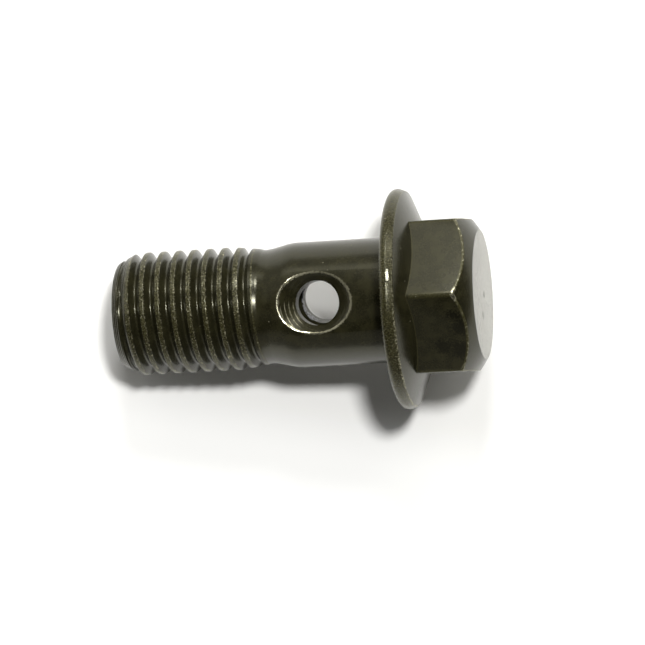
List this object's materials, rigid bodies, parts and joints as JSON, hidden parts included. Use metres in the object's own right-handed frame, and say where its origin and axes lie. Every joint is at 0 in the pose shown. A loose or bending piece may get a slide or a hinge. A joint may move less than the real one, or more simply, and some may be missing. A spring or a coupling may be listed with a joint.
{
  "type": "banjo bolt",
  "caption": "Hollow banjo bolt with a crowned hexagon head, conical flange, waisted neck, fine thread, and countersunk cross ports meeting an axial bore.",
  "frame": {"origin": "centre of the flange's bearing face, on the shank's axis", "axes": "+Z along the shank towards the tip, -Y out of the front port, +X across the flats of the hexagon"},
  "size_m": [0.0173, 0.0172, 0.029],
  "materials": {
    "blackened_steel": "black-oxide steel, semi-gloss, worn pale at the edges"
  },
  "bodies": {
    "root": {"banjo_bolt": "blackened_steel"}
  },
  "joints": []
}
